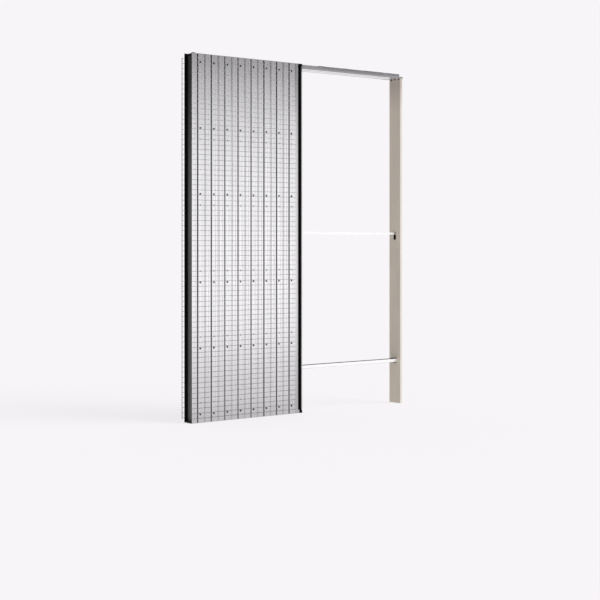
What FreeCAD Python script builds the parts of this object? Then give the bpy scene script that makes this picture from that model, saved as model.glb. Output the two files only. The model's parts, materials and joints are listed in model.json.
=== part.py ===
import FreeCAD, Part
import os

Vector = FreeCAD.Vector

# Passage and pocket, all in millimetres
opening_width = 800.0
opening_height = 2100.0
pocket_length = 800.0
box_thickness = 78.0
finished_wall = 105.0

# Staves of the pocket's two sides
stave_count = 8
rear_strip_width = 41.0
stave_sheet = 0.8
seam_gap = 8.0
seam_depth = 9.0
seam_lap = 10.0
crease_offset = 51.0
crease_width = 14.0
crease_floor = 4.0
crease_depth = 4.0
band_drop = 3.0
bend_radius = 1.2

# Black uprights
post_sheet = 1.2
post_width = 23.0
upright_sheet = 1.5
upright_recess = 25.0
upright_drop = 1.0
foot_notch = 10.0
foot_notch_tall = 20.0
cap_reach = 8.0
cap_height = 16.0
cap_chamfer = 3.0
seal_reach = 6.0
seal_thickness = 4.0

# Channels that hold the two sides apart
channel_sheet = 1.5
channel_leg = 25.0

# Track and header
track_width = 40.0
track_height = 25.5
track_wall = 2.5
slot_width = 12.0
header_sheet = 1.5
keying_sheet = 1.5
keying_start = 145.0
keying_leg = 16.0
keying_slot = 13.0
keying_slot_tall = 6.0
keying_pitch = 20.0
soffit_sheet = 1.5
soffit_lip = 10.0
soffit_overhang = 3.0

# Strike jamb and lock keep
jamb_sheet = 1.5
jamb_depth = 19.0
jamb_lip = 12.0
jamb_radius = 1.5
notch_width = 9.0
notch_height = 5.0
notch_spacing = 38.0
bracket_sheet = 2.0
bracket_tall = 40.0
bracket_clearance = 2.0
keep_height = 1073.0
keep_slot_width = 22.0
keep_slot_height = 32.0
keep_wall = 2.0
keep_depth = 14.0

# Spacer bars across the opening
upper_bar_height = 1097.0
upper_bar_depth = 15.0
upper_bar_tall = 14.0
upper_bar_wall = 1.2
lower_bar_height = 276.0
lower_bar_depth = 44.0
lower_bar_tall = 20.0
lower_bar_sheet = 1.5
bar_plate = 1.5
bar_plate_clearance = 0.2

# Wire mesh for plaster
wire = 2.0
mesh_row_pitch = 29.25
mesh_margin = 20.0
mesh_inset = 4.0
mesh_overhang = 16.0
mesh_stop = 43.0
mesh_tail = 6.0
column_offset = 30.0

# Clips of the staves that hold the mesh, on rows counted from both ends of it
clip_rows = (1, 14, 27)
clip_offset = 18.0
clip_width = 11.0
clip_tall = 14.0
clip_clearance = 0.3
hook_width = 3.0
hook_lip = 2.0

# Places that follow from the sizes above
soffit_top = opening_height + soffit_sheet
track_top = soffit_top + track_height
header_top = track_top + header_sheet
frame_height = header_top + keying_sheet
half_box = box_thickness / 2
half_wall = finished_wall / 2
half_slot = slot_width / 2
inner_face = half_box - seam_depth - stave_sheet
mouth_face = band_drop - half_box
post_front = mouth_face - post_sheet
post_back = post_sheet - inner_face
stave_pitch = (pocket_length - rear_strip_width) / stave_count
jamb_face = pocket_length + opening_width
jamb_back = jamb_face + jamb_depth
header_start = pocket_length - post_width
header_half = track_width / 2 + header_sheet
soffit_end = jamb_back + soffit_overhang
middle = (soffit_end - mesh_overhang) / 2


def box(low, high):
    size = Vector(*high) - Vector(*low)
    return Part.makeBox(size.x, size.y, size.z, Vector(*low))


def bent_sheet(points, sheet, radii, plane):
    """Face of a folded sheet: its outer line follows the points and the sheet lies on the left.

    Each bend has its own inner radius, and 0 leaves a sharp fold.
    """
    spots = [Vector(x, y, 0) for x, y in points]
    runs = [(b - a).normalize() for a, b in zip(spots, spots[1:])]
    lefts = [Vector(-run.y, run.x, 0) for run in runs]
    near = [[spots[0]]]
    far = [[spots[0] + lefts[0] * sheet]]
    for number, radius in enumerate(radii):
        spot = spots[number + 1]
        run, next_run = runs[number:number + 2]
        left, next_left = lefts[number:number + 2]
        bisector = (left + next_left) / (1 + left.dot(next_left))
        if radius == 0:
            near.append([spot])
            far.append([spot + bisector * sheet])
            continue
        turns_left = run.cross(next_run).z > 0
        side = 1 if turns_left else -1
        near_radius = radius + sheet if turns_left else radius
        far_radius = radius if turns_left else radius + sheet
        centre = spot + bisector * near_radius * side
        mid_left = (left + next_left).normalize()
        near.append([centre - ray * near_radius * side for ray in (left, mid_left, next_left)])
        far.append([centre - ray * far_radius * side for ray in (left, mid_left, next_left)])
    near.append([spots[-1]])
    far.append([spots[-1] + lefts[-1] * sheet])
    corners = near + [bend[::-1] for bend in far[::-1]]
    edges = []
    for bend, next_bend in zip(corners, corners[1:] + corners[:1]):
        if len(bend) == 3:
            edges.append(Part.Arc(*bend).toShape())
        edges.append(Part.LineSegment(bend[-1], next_bend[0]).toShape())
    wire_loop = Part.Wire(edges)
    wire_loop.Placement = plane
    return Part.Face(wire_loop)


def even(radius, path):
    """The same radius for every bend of a path."""
    return [radius] * (len(path) - 2)


def upright(points, sheet, radii, low, high):
    """Folded sheet whose section lies in the floor plan, run from one height to another."""
    plane = FreeCAD.Placement(Vector(0, 0, low), FreeCAD.Rotation())
    return bent_sheet(points, sheet, radii, plane).extrude(Vector(0, 0, high - low))


def crosswise(points, sheet, radii, start, end):
    """Folded sheet whose section lies across the frame, as depth and height, run along its length."""
    turn = FreeCAD.Rotation(Vector(0, 1, 0), Vector(0, 0, 1), Vector(1, 0, 0), "XYZ")
    plane = FreeCAD.Placement(Vector(start, 0, 0), turn)
    return bent_sheet(points, sheet, radii, plane).extrude(Vector(end - start, 0, 0))


def throughwise(points, sheet, radii, half):
    """Folded sheet whose section lies along the frame, as length and height, run through the wall."""
    turn = FreeCAD.Rotation(Vector(1, 0, 0), Vector(0, 0, 1), Vector(0, -1, 0), "XYZ")
    plane = FreeCAD.Placement(Vector(0, half, 0), turn)
    return bent_sheet(points, sheet, radii, plane).extrude(Vector(0, -2 * half, 0))


def mirrored(shape):
    return shape.mirror(Vector(0, 0, 0), Vector(0, 1, 0))


def seam_start(number):
    """Place of the seam at the rear edge of a stave, counted from 0."""
    return rear_strip_width + number * stave_pitch


def foot_path(seam):
    """Leg down into the seam and the foot that passes under the next stave."""
    edge = seam - seam_gap / 2
    floor = seam_depth - half_box
    return [(edge, -half_box), (edge, floor), (seam + seam_gap / 2 + seam_lap, floor)]


def clip_places():
    """Height of each wire that is clipped, and 1 in the upper half or -1 in the lower half."""
    heights = mesh_heights()
    upper = [(heights[-1 - row], 1) for row in clip_rows]
    return upper + [(heights[row], -1) for row in clip_rows]


def clip_window(place, height, away):
    hinge = height - away * (wire / 2 + clip_clearance + stave_sheet)
    low, high = sorted((hinge, hinge + away * clip_tall))
    near = (place - clip_width / 2, -half_box, low)
    return box(near, (place + clip_width / 2, stave_sheet - half_box, high))


def clip_hook(place, height, away):
    """Tongue folded out of a window, under the wire and round its front, away from mid-height."""
    hinge = height - away * (wire / 2 + clip_clearance + stave_sheet)
    tip = height + away * (wire / 2 + hook_lip)
    outer = -half_box - 2 * wire - clip_clearance - stave_sheet
    path = [(outer, tip), (outer, hinge), (stave_sheet - half_box, hinge)]
    if away < 0:
        path.reverse()
    return crosswise(path, stave_sheet, even(0, path), place - hook_width / 2, place + hook_width / 2)


def stave(number):
    """Rib between two seams, with sharp folds at the crease and round shoulders, and its mesh clips.

    The last one lies deeper beyond its crease, where the mouth post grips it.
    """
    seam = seam_start(number)
    edge = seam + seam_gap / 2
    floor = seam_depth - half_box
    crease = seam + crease_offset
    path = [(edge + seam_lap, floor), (edge, floor), (edge, -half_box)]
    path += [(crease - crease_width / 2, -half_box), (crease - crease_floor / 2, crease_depth - half_box)]
    path.append((crease + crease_floor / 2, crease_depth - half_box))
    radii = [0, bend_radius, 0, 0, 0, 0, bend_radius]
    if number == stave_count - 1:
        end = pocket_length - post_sheet
        path += [(crease + crease_width / 2, mouth_face), (end, mouth_face), (end, -inner_face - bend_radius)]
    else:
        path.append((crease + crease_width / 2, -half_box))
        path += foot_path(seam_start(number + 1))
        radii.append(0)
    rib = upright(path, stave_sheet, radii, 0, frame_height)
    windows = [clip_window(seam + clip_offset, height, away) for height, away in clip_places()]
    hooks = [clip_hook(seam + clip_offset, height, away) for height, away in clip_places()]
    return rib.cut(windows).fuse(hooks)


def rear_strip():
    path = [(0, -half_box)] + foot_path(rear_strip_width)
    return upright(path, stave_sheet, [bend_radius, 0], 0, frame_height)


def rear_upright():
    outer = half_box - stave_sheet
    path = [(0, -outer), (upright_recess, -outer), (upright_recess, outer), (0, outer)]
    return upright(path, upright_sheet, even(bend_radius, path), 0, frame_height - upright_drop)


def mouth_post():
    """Channel over the last stave's edge, notched at the foot of its front leg."""
    path = [(header_start, post_front), (pocket_length, post_front)]
    path += [(pocket_length, post_back), (header_start, post_back)]
    post = upright(path, post_sheet, even(bend_radius, path), 0, frame_height)
    notch = box((header_start, post_front, 0), (header_start + foot_notch, mouth_face, foot_notch_tall))
    return post.cut(notch)


def post_caps():
    """Pads at the foot and the head of a mouth post, chamfered towards the opening."""
    foot = box((pocket_length, post_front, 0), (pocket_length + cap_reach, post_back, cap_height))
    outer_edges = [e for e in foot.Edges if e.BoundBox.XMin > pocket_length and e.BoundBox.ZMin > 0]
    foot = foot.makeChamfer(cap_chamfer, outer_edges[:1])
    head = foot.mirror(Vector(0, 0, frame_height / 2), Vector(0, 0, 1))
    return Part.makeCompound([foot, head])


def mouth_seal():
    """Pale strip along the mouth's edge, between the foot pad and the flange under the header."""
    low = (pocket_length, post_front, cap_height)
    return box(low, (pocket_length + seal_reach, post_front + seal_thickness, opening_height))


def channel(half, web, tip, sheet, start, end):
    """Folded channel along the frame, with its web at one height and its legs reaching to another."""
    path = [(half, tip), (half, web), (-half, web), (-half, tip)]
    if tip > web:
        path.reverse()
    return crosswise(path, sheet, even(bend_radius, path), start, end)


def side_channel(web, tip):
    """Channel between the two sides of the pocket."""
    return channel(inner_face, web, tip, channel_sheet, upright_recess, header_start)


def track_rail():
    """Slotted box section whose upper edges are chamfered to lie in the header's bends."""
    half = track_width / 2
    outer = box((upright_recess, -half, soffit_top), (jamb_back, half, track_top))
    upper_edges = [e for e in outer.Edges if e.Length > opening_width and e.BoundBox.ZMin > soffit_top]
    outer = outer.makeChamfer(bend_radius, upper_edges)
    bore_low = (upright_recess, track_wall - half, soffit_top + track_wall)
    bore = box(bore_low, (jamb_back, half - track_wall, track_top - track_wall))
    slot = box((upright_recess, -half_slot, soffit_top), (jamb_back, half_slot, track_top - track_wall))
    return outer.cut(bore).cut(slot)


def header_body():
    """Folded sheet that covers the track from above."""
    return channel(header_half, header_top, soffit_top, header_sheet, header_start, jamb_back)


def header_mesh_strip():
    """Slotted keying strip folded over the header, with one row of slots in each leg."""
    half = header_half + keying_sheet
    start = pocket_length + keying_start
    tip = frame_height - keying_leg
    strip = channel(half, frame_height, tip, keying_sheet, start, jamb_back)
    count = int((jamb_back - start - keying_slot) / keying_pitch) + 1
    first = (start + jamb_back - (count - 1) * keying_pitch - keying_slot) / 2
    low = tip + (keying_leg - keying_sheet - keying_slot_tall) / 2
    slots = []
    for number in range(count):
        near = first + number * keying_pitch
        slots.append(box((near, -half, low), (near + keying_slot, half, low + keying_slot_tall)))
    return strip.cut(slots)


def soffit_strip():
    """Flange under the track, from the slot to the wall's face, with its edge folded up there."""
    path = [(-half_wall, opening_height + soffit_lip), (-half_wall, opening_height)]
    path.append((-half_slot, opening_height))
    return crosswise(path, soffit_sheet, even(0, path), pocket_length, soffit_end)


def strike_jamb():
    lip = half_wall - jamb_lip
    path = [(jamb_back, lip), (jamb_back, half_wall), (jamb_face, half_wall)]
    path += [(jamb_face, -half_wall), (jamb_back, -half_wall), (jamb_back, -lip)]
    jamb = upright(path, jamb_sheet, even(jamb_radius, path), 0, opening_height)
    low = keep_height - keep_slot_height / 2
    half = keep_slot_width / 2
    web_back = jamb_face + jamb_sheet
    jamb = jamb.cut(box((jamb_face, -half, low), (web_back, half, low + keep_slot_height)))
    notch_low = opening_height - notch_height
    for place in (-notch_spacing, 0, notch_spacing):
        near = place - notch_width / 2
        jamb = jamb.cut(box((jamb_face, near, notch_low), (web_back, near + notch_width, opening_height)))
    return jamb


def head_bracket():
    """Angle inside the jamb's head, between its web and the flanges above."""
    front = jamb_face + jamb_sheet
    end = jamb_back - jamb_sheet - bracket_clearance
    path = [(end, opening_height), (front, opening_height), (front, opening_height - bracket_tall)]
    half = half_wall - jamb_sheet - jamb_radius - bracket_clearance
    return throughwise(path, bracket_sheet, even(bend_radius, path), half)


def lock_keep():
    """Tray behind the slot in the jamb, open towards the passage."""
    front = jamb_face + jamb_sheet
    half = keep_slot_width / 2
    low = keep_height - keep_slot_height / 2
    high = keep_height + keep_slot_height / 2
    outer = half + keep_wall
    tray = box((front, -outer, low - keep_wall), (front + keep_depth, outer, high + keep_wall))
    return tray.cut(box((front, -half, low), (front + keep_depth - keep_wall, half, high)))


def mouth_plate(centre, tall):
    """Plate on a bar's end that bears on both mouth posts, between the seals."""
    half = -post_front - seal_thickness - bar_plate_clearance
    low = (pocket_length, -half, centre - tall / 2)
    return box(low, (pocket_length + bar_plate, half, centre + tall / 2))


def upper_bar():
    start = pocket_length + bar_plate
    half = upper_bar_depth / 2
    low = upper_bar_height - upper_bar_tall / 2
    high = upper_bar_height + upper_bar_tall / 2
    tube = box((start, -half, low), (jamb_face, half, high))
    hollow_half = half - upper_bar_wall
    hollow_low = (start, -hollow_half, low + upper_bar_wall)
    tube = tube.cut(box(hollow_low, (jamb_face, hollow_half, high - upper_bar_wall)))
    return tube.fuse(mouth_plate(upper_bar_height, upper_bar_tall))


def lower_bar():
    """Channel that lies open side up."""
    start = pocket_length + bar_plate
    web = lower_bar_height - lower_bar_tall / 2
    tip = lower_bar_height + lower_bar_tall / 2
    bar = channel(lower_bar_depth / 2, web, tip, lower_bar_sheet, start, jamb_face)
    return bar.fuse(mouth_plate(lower_bar_height, lower_bar_tall))


def mesh_heights():
    count = int((frame_height - 2 * mesh_margin) / mesh_row_pitch) + 1
    first = (frame_height - (count - 1) * mesh_row_pitch) / 2
    return [first + number * mesh_row_pitch for number in range(count)]


def mesh_rows(start):
    outer = -half_box - 2 * wire
    end = pocket_length - mesh_stop
    rows = []
    for height in mesh_heights():
        low = (start, outer, height - wire / 2)
        rows.append(box(low, (end, outer + wire, height + wire / 2)))
    return Part.makeCompound(rows)


def mesh_columns(edges):
    """Two wires to a stave, clear of its clips and its crease, after those of a free edge."""
    heights = mesh_heights()
    bottom = heights[0] - mesh_tail
    top = heights[-1] + mesh_tail
    step = stave_pitch / 2
    places = [seam_start(0) + column_offset + step * number for number in range(-1, 2 * stave_count - 1)]
    columns = []
    for place in edges + places:
        low = (place - wire / 2, -half_box - wire, bottom)
        columns.append(box(low, (place + wire / 2, -half_box, top)))
    return Part.makeCompound(columns)


nodes = {}
for number in range(stave_count):
    nodes["front_stave_%d" % (number + 1)] = stave(number)
nodes["front_rear_strip"] = rear_strip()
nodes["front_mouth_post"] = mouth_post()
nodes["front_post_caps"] = post_caps()
nodes["front_mouth_seal"] = mouth_seal()
nodes["front_soffit_strip"] = soffit_strip()
for name in list(nodes):
    nodes[name.replace("front", "back", 1)] = mirrored(nodes[name])
nodes["front_mesh_rows"] = mesh_rows(mesh_inset)
nodes["front_mesh_columns"] = mesh_columns([])
nodes["back_mesh_rows"] = mirrored(mesh_rows(-mesh_overhang))
nodes["back_mesh_columns"] = mirrored(mesh_columns([wire / 2 - mesh_overhang]))
nodes["rear_upright"] = rear_upright()
nodes["base_channel"] = side_channel(0, channel_leg)
nodes["top_channel"] = side_channel(header_top, header_top - channel_leg)
nodes["track_rail"] = track_rail()
nodes["header_body"] = header_body()
nodes["header_mesh_strip"] = header_mesh_strip()
nodes["strike_jamb"] = strike_jamb()
nodes["head_bracket"] = head_bracket()
nodes["lock_keep"] = lock_keep()
nodes["upper_spacer_bar"] = upper_bar()
nodes["lower_spacer_bar"] = lower_bar()

os.makedirs("parts", exist_ok=True)
for name, shape in nodes.items():
    shape.translate(Vector(-middle, 0, 0))
    shape.exportStep("parts/%s.step" % name)
    print(name, len(shape.Solids), shape.isValid(), round(shape.Volume / 1000, 1))
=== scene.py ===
import json
import math

import bpy
import numpy as np
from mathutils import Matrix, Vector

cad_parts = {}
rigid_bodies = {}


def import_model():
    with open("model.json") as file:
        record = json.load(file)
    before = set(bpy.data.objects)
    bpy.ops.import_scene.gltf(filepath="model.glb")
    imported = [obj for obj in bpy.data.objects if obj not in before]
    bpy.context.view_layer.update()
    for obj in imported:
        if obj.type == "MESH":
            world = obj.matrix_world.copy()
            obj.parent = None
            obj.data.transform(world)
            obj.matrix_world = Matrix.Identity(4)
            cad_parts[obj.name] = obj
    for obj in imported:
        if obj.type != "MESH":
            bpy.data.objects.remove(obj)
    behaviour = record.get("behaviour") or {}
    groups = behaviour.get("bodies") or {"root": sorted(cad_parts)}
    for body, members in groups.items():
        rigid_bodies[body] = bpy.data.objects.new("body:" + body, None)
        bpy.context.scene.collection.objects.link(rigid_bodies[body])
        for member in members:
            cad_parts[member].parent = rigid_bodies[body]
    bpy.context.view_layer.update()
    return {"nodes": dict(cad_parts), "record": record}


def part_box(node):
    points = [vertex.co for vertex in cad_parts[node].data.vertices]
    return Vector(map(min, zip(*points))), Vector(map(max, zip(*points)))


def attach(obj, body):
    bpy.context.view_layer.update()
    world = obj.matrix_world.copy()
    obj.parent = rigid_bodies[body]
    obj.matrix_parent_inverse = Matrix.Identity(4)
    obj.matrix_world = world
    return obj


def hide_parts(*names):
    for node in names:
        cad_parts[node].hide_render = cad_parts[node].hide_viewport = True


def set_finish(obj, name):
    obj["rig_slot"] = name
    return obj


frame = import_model()
nodes = frame["nodes"]
rng = np.random.default_rng(7)
outsides = {"front": -1, "back": 1}  # which way along Y each side of the pocket faces
print("frame loaded with", len(nodes), "nodes")


# Meshes

def putMesh(name, points, faces, smooth):
    # points and faces go into a new object that sits at the origin, its place in its mesh
    mesh = bpy.data.meshes.new(name)
    mesh.from_pydata(points.reshape(-1, 3).tolist(), [], faces)
    mesh.polygons.foreach_set("use_smooth", smooth)
    mesh.validate()
    mesh.update()
    piece = bpy.data.objects.new(name, mesh)
    bpy.context.scene.collection.objects.link(piece)
    return piece


def sweptMesh(name, rings, smooth=True):
    # rings[piece, step, side] is a closed section carried along a path, and flat caps shut both ends
    count, steps, sides = rings.shape[:3]
    index = np.arange(count * steps * sides).reshape(count, steps, sides)
    near, far = index[:, :-1], index[:, 1:]
    walls = np.stack([near, np.roll(near, -1, 2), np.roll(far, -1, 2), far], -1).reshape(-1, 4)
    caps = np.concatenate([index[:, 0, ::-1], index[:, -1]])
    flags = [smooth] * len(walls) + [False] * len(caps)
    return putMesh(name, rings, walls.tolist() + caps.tolist(), flags)


def ringDirections(sides, first, second):
    # unit circle turned from the first direction towards the second
    turn = np.arange(sides) * 2 * np.pi / sides
    return np.cos(turn)[:, None] * np.array(first) + np.sin(turn)[:, None] * np.array(second)


def turnedRings(profile, centres, along, sides):
    # a profile of (distance along the axis, radius) points turned about an axis at each centre
    along = np.array(along, float)
    first = np.array([0.0, 0.0, 1.0])
    ring = ringDirections(sides, first, np.cross(along, first))
    steps = np.array(profile)
    shape = steps[:, 0, None, None] * along + steps[:, 1, None, None] * ring
    return np.array(centres)[:, None, None, :] + shape


def uprightPrism(name, plan, bottom, top):
    # an outline in plan carried straight up
    rings = np.zeros((1, 2, len(plan), 3))
    rings[..., :2] = plan
    rings[0, :, :, 2] = np.array([[bottom], [top]])
    return sweptMesh(name, rings, smooth=False)


rodSides = 24


def rodsAlongX(name, stations, centres, half, corner, shrink=0.0):
    # a rounded rectangle carried along X at each centre, drawn in a little at the first station
    turn = ringDirections(rodSides, (1, 0), (0, 1))
    half = np.array(half)
    section = np.sign(np.round(turn, 6)) * (half - corner) + turn * corner
    scale = np.ones(len(stations))
    scale[0] -= shrink / half.min()
    centres = np.array(centres)
    rings = np.zeros((len(centres), len(stations), len(turn), 3))
    rings[..., 0] = np.array(stations)[:, None]
    rings[..., 1:] = centres[:, None, None, :] + scale[:, None, None] * section
    return sweptMesh(name, rings, smooth=False)


def setDown(piece, material, slotName, replaced=()):
    # finish, body and slot of a finished piece, and the nodes that it stands for
    piece.data.materials.append(material)
    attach(piece, "root")
    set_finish(piece, slotName)
    if replaced:
        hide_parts(*replaced)
    print("made", piece.name, len(piece.data.polygons), "faces")


# Shader groups

def newGroup(name, inputs, outputs):
    # every group takes a place and some numbers, and gives numbers
    group = bpy.data.node_groups.new(name, "ShaderNodeTree")
    group.interface.new_socket("Vector", in_out="INPUT", socket_type="NodeSocketVector")
    for socketName in inputs:
        group.interface.new_socket(socketName, in_out="INPUT", socket_type="NodeSocketFloat")
    for socketName in outputs:
        group.interface.new_socket(socketName, in_out="OUTPUT", socket_type="NodeSocketFloat")
    return group, group.nodes.new("NodeGroupInput"), group.nodes.new("NodeGroupOutput")


def addNode(tree, kind, **settings):
    node = tree.nodes.new(kind)
    for key, value in settings.items():
        setattr(node, key, value)
    return node


def addMath(tree, operation, first, second):
    node = addNode(tree, "ShaderNodeMath", operation=operation)
    for socket, value in zip(node.inputs, (first, second)):
        if isinstance(value, (int, float)):
            socket.default_value = value
        else:
            tree.links.new(value, socket)
    return node.outputs[0]


def addRamp(tree, value, low, high, toLow=0.0, toHigh=1.0):
    node = addNode(tree, "ShaderNodeMapRange")
    tree.links.new(value, node.inputs["Value"])
    settings = {"From Min": low, "From Max": high, "To Min": toLow, "To Max": toHigh}
    for key, setting in settings.items():
        node.inputs[key].default_value = setting
    return node.outputs["Result"]


def stretched(tree, vector, scale):
    node = addNode(tree, "ShaderNodeMapping")
    tree.links.new(vector, node.inputs["Vector"])
    node.inputs["Scale"].default_value = scale
    return node.outputs["Vector"]


def addNoise(tree, vector, scale, detail):
    node = addNode(tree, "ShaderNodeTexNoise")
    tree.links.new(vector, node.inputs["Vector"])
    node.inputs["Scale"].default_value = scale
    node.inputs["Detail"].default_value = detail
    return node.outputs["Fac"]


spangle = {
    "streakScale": (110, 110, 1.6), "streakDetail": 3.0, "cloudScale": 5.0, "cloudDetail": 4.0,
    "contrast": (0.3, 0.7),
}


def makeZincSpangle():
    # crystals of the zinc coat as random cells, fine streaks along the rolling direction, and wide clouds
    group, given, out = newGroup("zincSpangle", ["Cells"], ["Crystal", "Streak", "Cloud"])
    vector = given.outputs["Vector"]
    cells = addNode(group, "ShaderNodeTexVoronoi")
    group.links.new(vector, cells.inputs["Vector"])
    group.links.new(given.outputs["Cells"], cells.inputs["Scale"])
    split = addNode(group, "ShaderNodeSeparateColor")
    group.links.new(cells.outputs["Color"], split.inputs["Color"])
    group.links.new(split.outputs["Red"], out.inputs["Crystal"])
    streak = addNoise(group, stretched(group, vector, spangle["streakScale"]), 1.0, spangle["streakDetail"])
    group.links.new(addRamp(group, streak, *spangle["contrast"]), out.inputs["Streak"])
    cloud = addNoise(group, vector, spangle["cloudScale"], spangle["cloudDetail"])
    group.links.new(addRamp(group, cloud, *spangle["contrast"]), out.inputs["Cloud"])
    return group


grain = {"peelDetail": 2.0, "smearScale": (14, 14, 4), "smearDetail": 5.0, "contrast": (0.35, 0.75)}


def makeCoatGrain():
    # orange peel of a sprayed coat, and faint smears and dust on it
    group, given, out = newGroup("coatGrain", ["Peel Size"], ["Peel", "Smear"])
    vector = given.outputs["Vector"]
    peel = addNode(group, "ShaderNodeTexNoise")
    group.links.new(vector, peel.inputs["Vector"])
    group.links.new(given.outputs["Peel Size"], peel.inputs["Scale"])
    peel.inputs["Detail"].default_value = grain["peelDetail"]
    group.links.new(peel.outputs["Fac"], out.inputs["Peel"])
    smear = addNoise(group, stretched(group, vector, grain["smearScale"]), 1.0, grain["smearDetail"])
    group.links.new(addRamp(group, smear, *grain["contrast"]), out.inputs["Smear"])
    return group


def makeFoldShade():
    # by distance from the mid-plane: 1 on the outer face of a folded sheet, 0 at the bottom of its folds
    group, given, out = newGroup("foldShade", ["Deep", "Face"], ["Open"])
    split = addNode(group, "ShaderNodeSeparateXYZ")
    group.links.new(given.outputs["Vector"], split.inputs["Vector"])
    ramp = addNode(group, "ShaderNodeMapRange")
    group.links.new(addMath(group, "ABSOLUTE", split.outputs["Y"], 0.0), ramp.inputs["Value"])
    group.links.new(given.outputs["Deep"], ramp.inputs["From Min"])
    group.links.new(given.outputs["Face"], ramp.inputs["From Max"])
    group.links.new(ramp.outputs["Result"], out.inputs["Open"])
    return group


zincSpangle = makeZincSpangle()
coatGrain = makeCoatGrain()
foldShade = makeFoldShade()


# Materials

def startMaterial(name, constants):
    material = bpy.data.materials.new(name)
    material.use_nodes = True
    tree = material.node_tree
    shader = tree.nodes["Principled BSDF"]
    for socketName, value in constants.items():
        shader.inputs[socketName].default_value = value
    place = addNode(tree, "ShaderNodeTexCoord")
    return material, tree, shader, place.outputs["Object"]


def placeGroup(tree, group, vector, **values):
    node = addNode(tree, "ShaderNodeGroup", node_tree=group)
    tree.links.new(vector, node.inputs["Vector"])
    for key, value in values.items():
        node.inputs[key].default_value = value
    return node


def mixColours(tree, share, first, second):
    # each colour is a plain triple or another node's output, and the node's inputs 6 and 7 are its colours
    node = addNode(tree, "ShaderNodeMix", data_type="RGBA")
    tree.links.new(share, node.inputs["Factor"])
    for socket, colour in ((node.inputs[6], first), (node.inputs[7], second)):
        if isinstance(colour, tuple):
            socket.default_value = (*colour, 1.0)
        else:
            tree.links.new(colour, socket)
    return node.outputs[2]


def axisShare(tree, vector, axis, low, high):
    # 0 below one place on an axis, 1 above another
    split = addNode(tree, "ShaderNodeSeparateXYZ")
    tree.links.new(vector, split.inputs["Vector"])
    return addRamp(tree, split.outputs[axis], low, high)


def addZones(tree, vector, colour, zones):
    # each zone is an axis, the places where it starts and is full, and its tone
    for axis, low, high, tone in zones:
        colour = mixColours(tree, axisShare(tree, vector, axis, low, high), colour, tone)
    return colour


def foldMask(tree, vector, depths):
    node = placeGroup(tree, foldShade, vector, Deep=depths[0], Face=depths[1])
    return node.outputs["Open"]


def finishColour(tree, vector, colour, look):
    # other tones by place: on the face, down in the creases, deep in the folds, and on all of it
    colour = addZones(tree, vector, colour, look.get("faceZones", ()))
    if "creases" in look:
        within = addZones(tree, vector, colour, look["creaseZones"])
        colour = mixColours(tree, foldMask(tree, vector, look["creases"]), within, colour)
    if "folds" in look:
        within = addZones(tree, vector, look["inFolds"], look.get("foldZones", ()))
        colour = mixColours(tree, foldMask(tree, vector, look["folds"]), within, colour)
    return addZones(tree, vector, colour, look.get("zones", ()))


def addBump(tree, shader, height, distance, strength):
    node = addNode(tree, "ShaderNodeBump")
    node.inputs["Strength"].default_value = strength
    node.inputs["Distance"].default_value = distance
    tree.links.new(height, node.inputs["Height"])
    tree.links.new(node.outputs["Normal"], shader.inputs["Normal"])


zincCells = 95.0  # crystals to a metre, where a look doesn't say
bumpStrength = {"zinc": 0.4, "coat": 0.5}


def zincFinish(name, look):
    # bare zinc: crystals and streaks vary its grey, crystals and clouds its gloss
    material, tree, shader, vector = startMaterial(name, {"Metallic": 1.0})
    zinc = placeGroup(tree, zincSpangle, vector, Cells=look.get("cells", zincCells))
    crystal, streak, cloud = (zinc.outputs[key] for key in ("Crystal", "Streak", "Cloud"))
    share = addMath(tree, "MULTIPLY", crystal, look["crystalShare"])
    share = addMath(tree, "ADD", share, addMath(tree, "MULTIPLY", streak, look["streakShare"]))
    colour = mixColours(tree, share, look["dark"], look["light"])
    tree.links.new(finishColour(tree, vector, colour, look), shader.inputs["Base Color"])
    gloss = addMath(tree, "ADD", crystal, cloud)  # from 0 to 2
    tree.links.new(addRamp(tree, gloss, 0.0, 2.0, *look["roughness"]), shader.inputs["Roughness"])
    addBump(tree, shader, share, look["bumpDepth"], bumpStrength["zinc"])
    return material


def coatFinish(name, look):
    # sprayed paint or moulded plastic: one colour, faint smears, and a fine peel
    constants = {"Specular IOR Level": look["specular"]}
    material, tree, shader, vector = startMaterial(name, constants)
    coat = placeGroup(tree, coatGrain, vector, **{"Peel Size": look["peelSize"]})
    smear = coat.outputs["Smear"]
    colour = mixColours(tree, smear, look["colour"], look["smeared"])
    if "hollow" in look:
        # the inside of the channel is painted darker: bare metal, and painted shade in its hollow
        above = axisShare(tree, vector, "Z", *look["hollowFloor"])
        within = addMath(tree, "SUBTRACT", 1.0, foldMask(tree, vector, look["hollow"]))
        colour = mixColours(tree, addMath(tree, "MULTIPLY", above, within), colour, look["bareMetalAndShade"])
    tree.links.new(finishColour(tree, vector, colour, look), shader.inputs["Base Color"])
    tree.links.new(addRamp(tree, smear, 0.0, 1.0, *look["roughness"]), shader.inputs["Roughness"])
    addBump(tree, shader, coat.outputs["Peel"], look["peelDepth"], bumpStrength["coat"])
    return material


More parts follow.
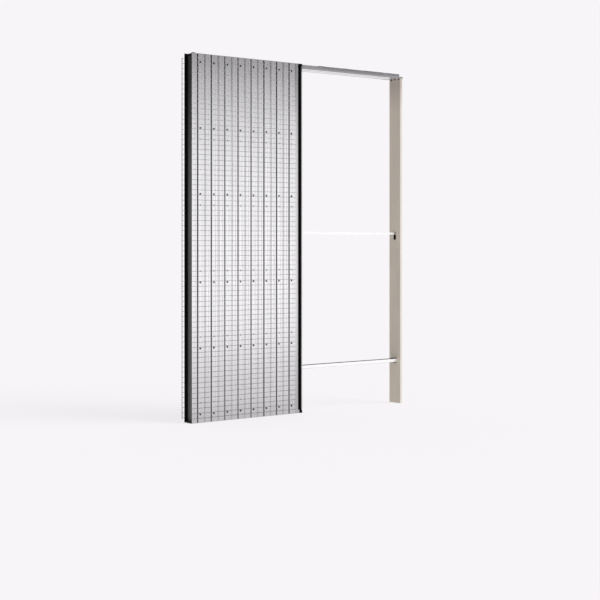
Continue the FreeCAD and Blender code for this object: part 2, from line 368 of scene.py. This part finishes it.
staveLook = {
    "dark": (0.60, 0.60, 0.605), "light": (0.70, 0.70, 0.705),
    # painted shade in the seams, paler in some of them
    "folds": (0.0296, 0.0358), "inFolds": (0.20, 0.20, 0.205),
    "foldZones": [("X", -0.66, -0.60, (0.48, 0.48, 0.485)), ("X", -0.37, -0.31, (0.20, 0.20, 0.205))],
    "zones": [("Z", 0.12, -0.10, (0.46, 0.46, 0.465))],  # towards the foot, face and folds alike go to one mid grey: painted shade on the face, painted light in the folds
    # painted light, then painted shade at the head, outside the folds
    "faceZones": [("Z", 1.70, 1.90, (0.68, 0.68, 0.685)), ("Z", 1.97, 2.14, (0.56, 0.56, 0.565))],
    # painted shade in the creases, darker towards the head and the foot
    "creases": (0.0350, 0.0388),
    "creaseZones": [("Z", 1.76, 2.06, (0.36, 0.36, 0.365)), ("Z", 0.50, 0.10, (0.56, 0.56, 0.565))],
    "crystalShare": 0.3, "streakShare": 0.7, "roughness": (0.235, 0.275), "bumpDepth": 0.00004,
}
paintedShadeBesidePost = ("X", -0.0410, -0.0385, (0.42, 0.42, 0.425))  # painted shade beside the mouth post
mouthStaveLook = dict(staveLook, zones=[paintedShadeBesidePost] + staveLook["zones"])
paintedGapShade = ("X", -0.8015, -0.8025, (0.06, 0.06, 0.06))  # painted shade in the gap where the strip meets the upright
rearStripLook = dict(staveLook, zones=staveLook["zones"] + [paintedGapShade])
pressedLook = dict(staveLook, dark=(0.44, 0.44, 0.445), light=(0.54, 0.54, 0.545))  # duller where pressed
wireLook = {
    "dark": (0.34, 0.34, 0.35), "light": (0.46, 0.46, 0.47),
    "crystalShare": 0.4, "streakShare": 0.6, "roughness": (0.34, 0.50), "bumpDepth": 0.00003,
}
rowWireLook = dict(wireLook, zones=[("Z", 1.55, 1.95, (0.66, 0.66, 0.67))])  # painted light: brighter towards the top
# a paler copy of the wire's grey on the columns: painted light that offsets their shade
paintedLightWireLook = dict(wireLook, dark=(0.90, 0.90, 0.91), light=(0.96, 0.96, 0.97), roughness=(0.16, 0.26))
# a darker copy of the wire's grey on the free edge: painted shade
paintedShadeEdgeWireLook = dict(wireLook, dark=(0.17, 0.17, 0.175), light=(0.25, 0.25, 0.255))
headerLook = {
    "dark": (0.41, 0.415, 0.425), "light": (0.59, 0.595, 0.605),
    "crystalShare": 0.6, "streakShare": 0.4, "roughness": (0.34, 0.50), "bumpDepth": 0.00004,
}
keyingLook = dict(headerLook, dark=(0.31, 0.315, 0.325), light=(0.84, 0.845, 0.855), cells=28.0)  # blotchy
trackLook = {
    "dark": (0.62, 0.62, 0.63), "light": (0.72, 0.72, 0.73),
    "crystalShare": 0.1, "streakShare": 0.9, "roughness": (0.26, 0.36), "bumpDepth": 0.00002,
}
blackSteelLook = {
    "colour": (0.004, 0.004, 0.004), "smeared": (0.007, 0.007, 0.007), "specular": 0.25,
    "roughness": (0.38, 0.52), "peelSize": 900.0, "peelDepth": 0.00003,
}
uprightLook = dict(
    blackSteelLook, folds=(0.0355, 0.0365), inFolds=(0.205, 0.203, 0.207),
    foldZones=[("Z", 1.30, 1.95, (0.071, 0.070, 0.072))])  # its web is greyer, and painted shade darkens it towards the top
postLook = {
    "colour": (0.001, 0.001, 0.001), "smeared": (0.003, 0.003, 0.003), "specular": 0.01,
    "roughness": (0.55, 0.65), "peelSize": 900.0, "peelDepth": 0.00003,
}
plasticLook = {
    "colour": (0.008, 0.008, 0.008), "smeared": (0.014, 0.014, 0.014), "specular": 0.25,
    "roughness": (0.5, 0.62), "peelSize": 1600.0, "peelDepth": 0.00004,
}
jambLook = {
    "colour": (0.85, 0.768, 0.652), "smeared": (0.81, 0.732, 0.618), "specular": 0.4,
    # painted light: paler on its front edge; painted shade: greyer towards the head, under the soffit
    "zones": [("Y", -0.0515, -0.0520, (0.82, 0.774, 0.705)), ("Z", 1.90, 2.06, (0.62, 0.55, 0.48))],
    "roughness": (0.38, 0.5), "peelSize": 600.0, "peelDepth": 0.00004,
}
hemLook = {
    "dark": (0.42, 0.42, 0.425), "light": (0.52, 0.52, 0.525),
    "crystalShare": 0.5, "streakShare": 0.5, "roughness": (0.30, 0.40), "bumpDepth": 0.00003,
}
flangeLook = dict(hemLook, folds=(0.0510, 0.0520), inFolds=(0.93, 0.93, 0.93))  # dull at its outer edge
barLook = {
    "colour": (0.96, 0.96, 0.96), "smeared": (0.945, 0.945, 0.94), "specular": 0.4,
    "roughness": (0.36, 0.48), "peelSize": 600.0, "peelDepth": 0.00004,
}
# the inside of its channel is painted darker: bare metal and painted shade
hollowBarLook = dict(
    barLook, hollow=(0.0206, 0.0216), hollowFloor=(0.2664, 0.2672), bareMetalAndShade=(0.17, 0.17, 0.172))
sealLook = {
    "colour": (0.42, 0.42, 0.42), "smeared": (0.34, 0.34, 0.34), "specular": 0.15,
    "roughness": (0.75, 0.9), "peelSize": 1400.0, "peelDepth": 0.0006,
}
finishes = {
    "galvanised_sheet": zincFinish("galvanisedSheet", staveLook),
    "mesh_wire": zincFinish("meshWire", rowWireLook),
    "header_steel": zincFinish("headerSteel", headerLook),
    "track_aluminium": zincFinish("trackAluminium", trackLook),
    "black_steel": coatFinish("blackSteel", blackSteelLook),
    "black_plastic": coatFinish("blackPlastic", plasticLook),
    "jamb_paint": coatFinish("jambPaint", jambLook),
    "pale_flange": zincFinish("paleFlange", flangeLook),
    "white_bar": coatFinish("whiteBar", barLook),
    "seal_pile": coatFinish("sealPile", sealLook),
}
ownFinishes = {
    "front_mouth_post": coatFinish("postBlack", postLook),
    "lower_spacer_bar": coatFinish("whiteHollowBar", hollowBarLook),
    "rear_upright": coatFinish("blackUpright", uprightLook),
    "front_mesh_columns": zincFinish("paintedLightWire", paintedLightWireLook),
    "front_stave_8": zincFinish("mouthStave", mouthStaveLook),
    "front_rear_strip": zincFinish("rearStrip", rearStripLook),
}
for name in ("mouth_post", "mesh_columns", "stave_8", "rear_strip"):
    ownFinishes["back_" + name] = ownFinishes["front_" + name]
paintedShadeEdgeWire = zincFinish("paintedShadeEdgeWire", paintedShadeEdgeWireLook)
hemZinc = zincFinish("hemZinc", hemLook)
keyingZinc = zincFinish("keyingZinc", keyingLook)
pressedZinc = zincFinish("pressedZinc", pressedLook)
print("finishes ready:", len(finishes), "and", len(ownFinishes), "nodes with their own")

for part in frame["record"]["subparts"]:
    material = ownFinishes.get(part["node"], finishes[part["material_slot"]])
    data = nodes[part["node"]].data
    data.materials.clear()
    data.materials.append(material)


# Plaster mesh of welded wire on both sides

plasterMesh = {
    "rows": 72, "half": 0.001, "rowRadius": 0.001, "columnRadius": 0.00065, "edgeRadius": 0.0019,
    "sides": 6, "sink": 0.0003, "bow": 0.0005, "waves": (2.3, 5.1, 9.7),
    "weldRadius": 0.0014, "weldProfile": [(-0.5, 0.3), (-0.2, 1.0), (0.2, 1.0), (0.5, 0.3)], "weldSides": 6,
}


def waviness(count, places):
    # each wire wanders by a few slow sines of random phase
    waves = np.array(plasterMesh["waves"])
    phase = rng.uniform(0, 2 * np.pi, (count, 1, len(waves)))
    return plasterMesh["bow"] * np.sin(places[None, :, None] * waves + phase).mean(-1)


def meshHeights(side):
    # rows at even steps up the wall
    low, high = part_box(side + "_mesh_rows")
    return np.linspace(low.z + plasterMesh["half"], high.z - plasterMesh["half"], plasterMesh["rows"])


def meshColumns(side):
    # columns at every half pitch of the staves, counted from the mouth, and one more along a free edge
    low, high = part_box(side + "_mesh_columns")
    half = plasterMesh["half"]
    pitch = (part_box(side + "_stave_2")[0].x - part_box(side + "_stave_1")[0].x) / 2
    first, last = low.x + half, high.x - half
    columns = last - pitch * np.arange(int((last - first + half) / pitch), -1, -1)
    freeEdge = columns[0] - first > half
    if freeEdge:
        columns = np.append(first, columns)
    return columns, freeEdge


def makeWelds(side, columns, y, heights):
    # a squeezed bead at every crossing, turned about the wall's depth
    bead = plasterMesh["weldRadius"] * np.array(plasterMesh["weldProfile"])
    centres = np.stack(np.broadcast_arrays(columns[None, :], y, heights[:, None]), -1)
    welds = turnedRings(bead, centres.reshape(-1, 3), (0, 1, 0), plasterMesh["weldSides"])
    setDown(sweptMesh(side + "MeshWelds", welds), finishes["mesh_wire"], "mesh_wire")


def makePlasterMesh(side):
    # a circle carried along each wandering wire, rows lying on the columns where they cross
    rowLow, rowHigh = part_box(side + "_mesh_rows")
    columnLow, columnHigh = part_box(side + "_mesh_columns")
    heights = meshHeights(side)
    columns, freeEdge = meshColumns(side)
    rowY = (rowLow.y + rowHigh.y) / 2 - outsides[side] * plasterMesh["sink"]
    columnY = (columnLow.y + columnHigh.y) / 2
    middles = (columns[1:] + columns[:-1]) / 2
    rowX = np.sort(np.concatenate([[rowLow.x], columns, middles, [rowHigh.x]]))
    columnZ = np.concatenate([[columnLow.z], heights, [columnHigh.z]])
    rowZ = heights[:, None] + waviness(len(heights), rowX)
    columnX = columns[:, None] + waviness(len(columns), columnZ)
    rowPaths = np.stack(np.broadcast_arrays(rowX[None, :], rowY, rowZ), -1)
    columnPaths = np.stack(np.broadcast_arrays(columnX, columnY, columnZ[None, :]), -1)
    ringX = plasterMesh["rowRadius"] * ringDirections(plasterMesh["sides"], (0, 1, 0), (0, 0, 1))
    ringZ = ringDirections(plasterMesh["sides"], (1, 0, 0), (0, 1, 0))
    rowPiece = sweptMesh(side + "MeshRows", rowPaths[:, :, None, :] + ringX)
    setDown(rowPiece, finishes["mesh_wire"], "mesh_wire", [side + "_mesh_rows"])
    inner = columnPaths[int(freeEdge):, :, None, :] + plasterMesh["columnRadius"] * ringZ
    columnPiece = sweptMesh(side + "MeshColumns", inner)
    setDown(columnPiece, ownFinishes[side + "_mesh_columns"], "mesh_wire", [side + "_mesh_columns"])
    if freeEdge:  # a stouter wire along it, in a darker copy of the wire's grey: painted shade
        edge = columnPaths[:1, :, None, :] + plasterMesh["edgeRadius"] * ringZ
        setDown(sweptMesh(side + "MeshEdge", edge), paintedShadeEdgeWire, "mesh_wire")
    makeWelds(side, columns, (rowY + columnY) / 2, heights)


for side in outsides:
    makePlasterMesh(side)


# Keying strip of expanded metal over the header

keyingStrip = {
    "strand": 0.0065, "diamond": 0.022, "diamondSteps": 8, "width": 0.0019, "thickness": 0.0013,
    "steepness": 2.0,  # at 1 the strands only touch, and above it they lie together for a stretch
    "bend": 0.003, "walkSteps": 600, "lift": 0.0026, "liftStep": 0.024,
}


def foldedSection(low, high, bend):
    # a walk up the front leg, over the top and down the back leg: its turn angle, and the sums of the
    # angle's sine and cosine
    leg = high.z - low.z - bend
    top = high.y - low.y - 2 * bend
    arc = bend * np.pi / 2
    length = 2 * (leg + arc) + top
    walk = np.linspace(0, length, keyingStrip["walkSteps"])
    marks = np.cumsum([0, leg, arc, top, arc, leg])
    turn = np.interp(walk, marks, np.array([0, 0, 0.5, 0.5, 1, 1]) * np.pi)
    step = walk[1] - walk[0]
    y = low.y + np.cumsum(np.sin(turn)) * step
    z = low.z + np.cumsum(np.cos(turn)) * step
    return walk, turn, y, z, length


def makeKeyingStrip():
    # strands zigzag along the header and meet their neighbours at every bond, each a flat bar in section
    low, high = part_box("header_mesh_strip")
    walk, turn, y, z, length = foldedSection(low, high, keyingStrip["bend"])
    count = int(length / keyingStrip["strand"])
    pitch = length / count
    period = keyingStrip["diamond"]
    steps = int((high.x - low.x) / period * keyingStrip["diamondSteps"])
    x = np.linspace(low.x, high.x, steps + 1)
    wave = np.clip(np.sin(x / period * 2 * np.pi) * keyingStrip["steepness"], -1, 1)
    number = np.arange(count)[:, None]
    along = (number + 0.5) * pitch + np.where(number % 2, -1, 1) * wave * pitch / 2
    along = np.clip(along, keyingStrip["width"] / 2, length - keyingStrip["width"] / 2)
    angle = np.interp(along, walk, turn)
    inset = keyingStrip["thickness"] / 2
    tangent = np.stack([np.zeros_like(angle), np.sin(angle), np.cos(angle)], -1)
    normal = np.stack([np.zeros_like(angle), -np.cos(angle), np.sin(angle)], -1)
    places = np.broadcast_arrays(x, np.interp(along, walk, y), np.interp(along, walk, z))
    # rough strands: each stands off the header by an uneven height
    knots = np.arange(low.x, high.x + keyingStrip["liftStep"], keyingStrip["liftStep"])
    heights = rng.uniform(0, keyingStrip["lift"], (count, len(knots)))
    lift = np.array([np.interp(x, knots, strand) for strand in heights])
    path = np.stack(places, -1) + normal * (lift[:, :, None] - inset)
    corners = np.array([[1, -1], [1, 1], [-1, 1], [-1, -1]]) / 2
    across = corners[:, 0, None] * tangent[:, :, None, :] * keyingStrip["width"]
    through = corners[:, 1, None] * normal[:, :, None, :] * keyingStrip["thickness"]
    piece = sweptMesh("headerKeyingStrip", path[:, :, None, :] + across + through, smooth=False)
    setDown(piece, keyingZinc, "header_steel", ["header_mesh_strip"])


makeKeyingStrip()


# Hems that turn down along the outer edges of the soffit, as far as the jamb

soffitHem = {"drop": 0.0028, "thickness": 0.0015, "round": 0.0006}


def makeSoffitHem(side):
    # a narrow rounded rectangle carried along the strip, flush with its outer edge
    low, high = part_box(side + "_soffit_strip")
    half = np.array([soffitHem["thickness"], soffitHem["drop"]]) / 2
    y = (high.y if outsides[side] > 0 else low.y) - outsides[side] * half[0]
    stations = [low.x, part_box("strike_jamb")[0].x]
    centre = (y, low.z - half[1] + soffitHem["round"])
    piece = rodsAlongX(side + "SoffitHem", stations, [centre], half, soffitHem["round"])
    setDown(piece, hemZinc, "pale_flange")


for side in outsides:
    makeSoffitHem(side)


# Pressed dimples beside the mesh clips

dimple = {
    "staves": 8, "offset": 0.014, "rows": (3, 16, 29, 42, 55, 68), "sides": 12,
    "profile": [(-0.0003, 0.0052), (0.0002, 0.0052), (0.0009, 0.0042), (0.0013, 0.0025), (0.0014, 0.0006)],
}


def makeDimples(side):
    # a low dome turned about the wall's depth, on every stave
    outward = outsides[side]
    boxes = [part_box("%s_stave_%d" % (side, number + 1)) for number in range(dimple["staves"])]
    x = np.array([low.x for low, high in boxes]) + dimple["offset"]
    z = meshHeights(side)[list(dimple["rows"])]
    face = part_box(side + "_mesh_columns")[0 if outward > 0 else 1].y  # where the wires touch the staves
    centres = np.stack(np.broadcast_arrays(x[:, None], face, z[None, :]), -1).reshape(-1, 3)
    rings = turnedRings(dimple["profile"], centres, (0, outward, 0), dimple["sides"])
    setDown(sweptMesh(side + "Dimples", rings), pressedZinc, "galvanised_sheet")


for side in outsides:
    makeDimples(side)


# Pile strips at the mouth

pileStrip = {"tuft": 0.0035, "sides": 10, "ripple": 0.12, "smallest": 0.95, "fringe": 0.003}


def makePileStrip(side):
    # an oval section along the post, pinched between its tufts, each of a slightly different size
    low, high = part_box(side + "_mouth_seal")
    count = int((high.z - low.z) / pileStrip["tuft"])
    z = np.linspace(low.z, high.z, 2 * count + 1)
    swell = np.where(np.arange(len(z)) % 2, 1.0, 1 - pileStrip["ripple"])
    swell = swell * rng.uniform(pileStrip["smallest"], 1.0, len(z))
    half = (high.x - low.x + pileStrip["fringe"]) / 2
    ring = ringDirections(pileStrip["sides"], (half, 0, 0), (0, (high.y - low.y) / 2, 0))
    anchor = np.array([low.x, (low.y + high.y) / 2, 0])
    reach = ring + [half, 0, 0]
    rings = anchor + reach * swell[:, None, None]
    rings[:, :, 2] = z[:, None]
    piece = sweptMesh(side + "PileStrip", rings[None])
    setDown(piece, finishes["seal_pile"], "seal_pile", [side + "_mouth_seal"])


for side in outsides:
    makePileStrip(side)


# Black rim on the top edge of the rear upright, and a black block in its foot that stands in for the shade
# there

uprightRim = {"rise": 0.004, "height": 0.012, "wall": 0.002, "inset": 0.0002}
uprightFootShade = {"height": 0.008, "wall": 0.0012, "inset": 0.0003}


def makeUprightRim():
    # a U in plan, which opens outwards as the upright does
    low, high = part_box("rear_upright")
    wall, inset = uprightRim["wall"], uprightRim["inset"]
    left, right = low.x + inset, high.x + inset
    near, far = low.y + inset, high.y - inset
    web, nearer, farther = right - wall, near + wall, far - wall
    plan = [(left, near), (right, near), (right, far), (left, far)]
    plan += [(left, farther), (web, farther), (web, nearer), (left, nearer)]
    top = high.z + uprightRim["rise"]
    piece = uprightPrism("rearUprightRim", plan, top - uprightRim["height"], top)
    setDown(piece, finishes["black_plastic"], "black_plastic")


def makeUprightFootShade():
    # fills the channel between the upright's flanges, just above the floor, as painted shade at the foot
    low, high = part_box("rear_upright")
    wall = uprightFootShade["wall"]
    left, right = low.x + uprightFootShade["inset"], high.x - wall
    near, far = low.y + wall, high.y - wall
    plan = [(left, near), (right, near), (right, far), (left, far)]
    piece = uprightPrism("rearUprightFootShade", plan, low.z, low.z + uprightFootShade["height"])
    setDown(piece, finishes["black_plastic"], "black_plastic")


makeUprightRim()
makeUprightFootShade()


# Sleeve and pad on the spacer bars' ends, screws in the jamb above the pad, and plugs in the jamb's head;
# the plugs stand in for the shade in its notches, and the pad partly for the lower bar's shadow

barSleeve = {
    "length": 0.012, "wall": 0.0012, "halfDepth": 0.0075, "round": 0.0015, "lead": 0.0008,
    "shift": (0, 0), "slot": "header_steel",
}
# a dark pad behind the lower bar's end, which also stands in for the bar's shadow on the jamb
barPadAndShade = {
    "length": 0.002, "wall": 0.0045, "halfDepth": 0.022, "round": 0.004, "lead": 0.0006,
    "shift": (0.008, -0.002), "slot": "black_plastic",
}
jambScrews = {
    "places": [(0.002, 0.325), (-0.025, 0.318)], "sides": 16,
    "profile": [(-0.0003, 0.0042), (0.0008, 0.0042), (0.0019, 0.0035), (0.0024, 0.0022), (0.0024, 0.0016),
                (0.0012, 0.0014), (0.0011, 0.0003)],
}
# dark plugs that stand in for the shade in the notches of the jamb's head
headShadePlugs = {
    "places": [(-0.037, -0.0045), (0.0, -0.0038), (0.030, -0.0068)], "half": (0.0070, 0.0038),
    "round": 0.0014, "proud": 0.0015, "lead": 0.0005,
}


def makeBarEnd(name, bar, look):
    # a piece round the bar's last stretch, drawn in at its free end
    low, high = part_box(bar)
    half = np.array([look["halfDepth"], (high.z - low.z) / 2]) + look["wall"]
    centre = np.array([(low.y + high.y) / 2, (low.z + high.z) / 2]) + look["shift"]
    stations = high.x - np.array([look["length"], look["length"] - look["lead"], 0.0])
    piece = rodsAlongX(name, stations, [centre], half, look["round"], look["lead"])
    setDown(piece, finishes[look["slot"]], look["slot"])


def makeJambScrews():
    # a domed head with a round recess, turned about X
    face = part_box("strike_jamb")[0].x
    centres = [(face, y, z) for y, z in jambScrews["places"]]
    rings = turnedRings(jambScrews["profile"], centres, (-1, 0, 0), jambScrews["sides"])
    setDown(sweptMesh("jambScrews", rings), finishes["white_bar"], "white_bar")


def makeHeadShadePlugs():
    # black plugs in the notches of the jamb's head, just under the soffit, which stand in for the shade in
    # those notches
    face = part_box("strike_jamb")[0].x
    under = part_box("front_soffit_strip")[0].z
    proud, lead = headShadePlugs["proud"], headShadePlugs["lead"]
    stations = [face - proud, face - proud + lead, face + proud]
    centres = np.array(headShadePlugs["places"]) + [0, under]
    piece = rodsAlongX("jambHeadShadePlugs", stations, centres, headShadePlugs["half"], headShadePlugs["round"], lead)
    setDown(piece, finishes["black_plastic"], "black_plastic")


makeBarEnd("upperBarSleeve", "upper_spacer_bar", barSleeve)
makeBarEnd("lowerBarPadAndShade", "lower_spacer_bar", barPadAndShade)
makeJambScrews()
makeHeadShadePlugs()


# Light, floor and camera

studio = {
    "background": (0.939, 0.913, 0.939), "skyTop": 1.0,
    "floorHalf": 60.0, "floorShare": 0.20, "floorBounce": 0.63,
    # what metal mirrors: a dark wall and a pale ceiling, from one climb in degrees to another
    "wall": 0.12, "wallClimbs": (6.2, 9.9), "overhead": 0.7, "overheadClimbs": (32.0, 52.0),
    "softbox": {"place": (1.75, -2.9, 1.12), "aim": (-0.4, 0.0, 1.12), "size": (2.8, 2.1), "power": 11.2},
    "sun": {"azimuth": -52.8, "elevation": 39.0, "spread": 40.0, "strength": 2.0},
    "barFill": 0.22,
}
softboxReach = bpy.data.collections.new("softboxReach")  # the softbox lights the object and not the floor
barReach = bpy.data.collections.new("barReach")  # and the fill lights the spacer bars alone


def hangLamp(name, kind, strength):
    data = bpy.data.lights.new(name, kind)
    data.energy = strength
    holder = bpy.data.objects.new(name, data)
    bpy.context.scene.collection.objects.link(holder)
    return holder


def makeSoftbox():
    # wide lamp from the right, turned to face what it aims at
    lamp = studio["softbox"]
    holder = hangLamp("softbox", "AREA", lamp["power"])
    holder.data.shape = "RECTANGLE"
    holder.data.size, holder.data.size_y = lamp["size"]
    holder.light_linking.receiver_collection = softboxReach
    aim = np.array(lamp["aim"]) - np.array(lamp["place"])
    flat = math.hypot(aim[0], aim[1])
    holder.location = lamp["place"]
    holder.rotation_euler = (math.atan2(flat, -aim[2]), 0, math.atan2(-aim[0], aim[1]))


def makeSun():
    # far soft light from the front right, which throws the shadow and leaves no glints on the wires
    lamp = studio["sun"]
    holder = hangLamp("sun", "SUN", lamp["strength"])
    holder.data.angle = math.radians(lamp["spread"])
    holder.visible_glossy = False
    holder.rotation_euler = (math.radians(90 - lamp["elevation"]), 0, math.radians(90 + lamp["azimuth"]))


def makeBarFill():
    # weak light from straight before the bars, which makes them whiter than the background
    holder = hangLamp("barFill", "SUN", studio["barFill"])
    holder.visible_glossy = False
    holder.light_linking.receiver_collection = barReach
    holder.rotation_euler = (math.radians(90), 0, 0)


def seenDirectly(tree):
    # 1 for rays that show the background itself, to the eye or in metal
    path = addNode(tree, "ShaderNodeLightPath")
    seen = addMath(tree, "MAXIMUM", path.outputs["Is Camera Ray"], path.outputs["Is Glossy Ray"])
    return addMath(tree, "MAXIMUM", seen, path.outputs["Is Transmission Ray"])


def upwardParts(climbs):
    # the Z of a direction at each climb in degrees
    return [math.sin(math.radians(climb)) for climb in climbs]


def makeWorld():
    world = bpy.data.worlds.new("studioWorld")
    bpy.context.scene.world = world
    world.use_nodes = True
    tree = world.node_tree
    light = tree.nodes["Background"]
    light.inputs["Color"].default_value = (1, 1, 1, 1)
    seen = addNode(tree, "ShaderNodeBackground")
    seen.inputs["Color"].default_value = (*studio["background"], 1)
    # white to the eye, and in metal a dark wall above the horizon with a pale ceiling over it
    direction = addNode(tree, "ShaderNodeTexCoord")
    split = addNode(tree, "ShaderNodeSeparateXYZ")
    tree.links.new(direction.outputs["Generated"], split.inputs["Vector"])
    up = split.outputs["Z"]
    tree.links.new(addRamp(tree, up, 0.0, 1.0, 0.0, studio["skyTop"]), light.inputs["Strength"])
    wall = addRamp(tree, up, *upwardParts(studio["wallClimbs"]), 1.0, studio["wall"])
    overhead = addRamp(tree, up, *upwardParts(studio["overheadClimbs"]), 0.0, studio["overhead"])
    level = addMath(tree, "MAXIMUM", wall, overhead)
    path = addNode(tree, "ShaderNodeLightPath")
    tree.links.new(addMath(tree, "MAXIMUM", level, path.outputs["Is Camera Ray"]), seen.inputs["Strength"])
    mix = addNode(tree, "ShaderNodeMixShader")
    tree.links.new(seenDirectly(tree), mix.inputs["Fac"])
    tree.links.new(light.outputs[0], mix.inputs[1])
    tree.links.new(seen.outputs[0], mix.inputs[2])
    tree.links.new(mix.outputs[0], tree.nodes["World Output"].inputs["Surface"])


def makeFloor():
    # pale floor: part glow of the background's colour, part matt surface that takes the shadow
    half = studio["floorHalf"]
    corners = np.array([[-half, -half, 0], [half, -half, 0], [half, half, 0], [-half, half, 0]])
    floor = putMesh("studioFloor", corners, [[0, 1, 2, 3]], [False])
    material = bpy.data.materials.new("studioFloor")
    material.use_nodes = True
    tree = material.node_tree
    tree.nodes.remove(tree.nodes["Principled BSDF"])
    bounce = addNode(tree, "ShaderNodeEmission")
    bounce.inputs["Color"].default_value = (*studio["background"], 1)
    bounce.inputs["Strength"].default_value = studio["floorBounce"]
    shadowed = addNode(tree, "ShaderNodeBsdfDiffuse")
    shadowed.inputs["Color"].default_value = (*(studio["floorShare"] * np.array(studio["background"])), 1)
    glow = addNode(tree, "ShaderNodeEmission")
    glow.inputs["Color"].default_value = (*studio["background"], 1)
    sunlit = studio["sun"]["strength"] * math.sin(math.radians(studio["sun"]["elevation"])) / math.pi
    skylit = studio["skyTop"] * 2 / 3  # what a level floor gets from a sky that fades to the horizon
    glow.inputs["Strength"].default_value = 1 - studio["floorShare"] * (skylit + sunlit)
    both = addNode(tree, "ShaderNodeAddShader")
    tree.links.new(shadowed.outputs[0], both.inputs[0])
    tree.links.new(glow.outputs[0], both.inputs[1])
    mix = addNode(tree, "ShaderNodeMixShader")
    tree.links.new(seenDirectly(tree), mix.inputs["Fac"])
    tree.links.new(bounce.outputs[0], mix.inputs[1])
    tree.links.new(both.outputs[0], mix.inputs[2])
    tree.links.new(mix.outputs[0], tree.nodes["Material Output"].inputs["Surface"])
    floor.data.materials.append(material)


view = {"place": (-5.070, -6.498, 1.0504), "turn": 38.051, "lens": 80.70, "sensor": 36.0, "shift": -0.0988}


def makeCamera():
    data = bpy.data.cameras.new("photoView")
    data.sensor_width = view["sensor"]
    data.lens = view["lens"]
    data.shift_y = view["shift"]
    camera = bpy.data.objects.new("photoView", data)
    bpy.context.scene.collection.objects.link(camera)
    camera.location = view["place"]
    camera.rotation_euler = (math.radians(90), 0, math.radians(-view["turn"]))
    bpy.context.scene.camera = camera


makeSoftbox()
makeSun()
makeBarFill()
makeWorld()
makeFloor()
makeCamera()
bpy.context.scene.view_settings.view_transform = "Standard"
print("studio ready")

newPieces = [piece for piece in bpy.context.scene.objects if "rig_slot" in piece]
for lit in list(nodes.values()) + newPieces:
    softboxReach.objects.link(lit)
for bar in ("upper_spacer_bar", "lower_spacer_bar"):
    barReach.objects.link(nodes[bar])
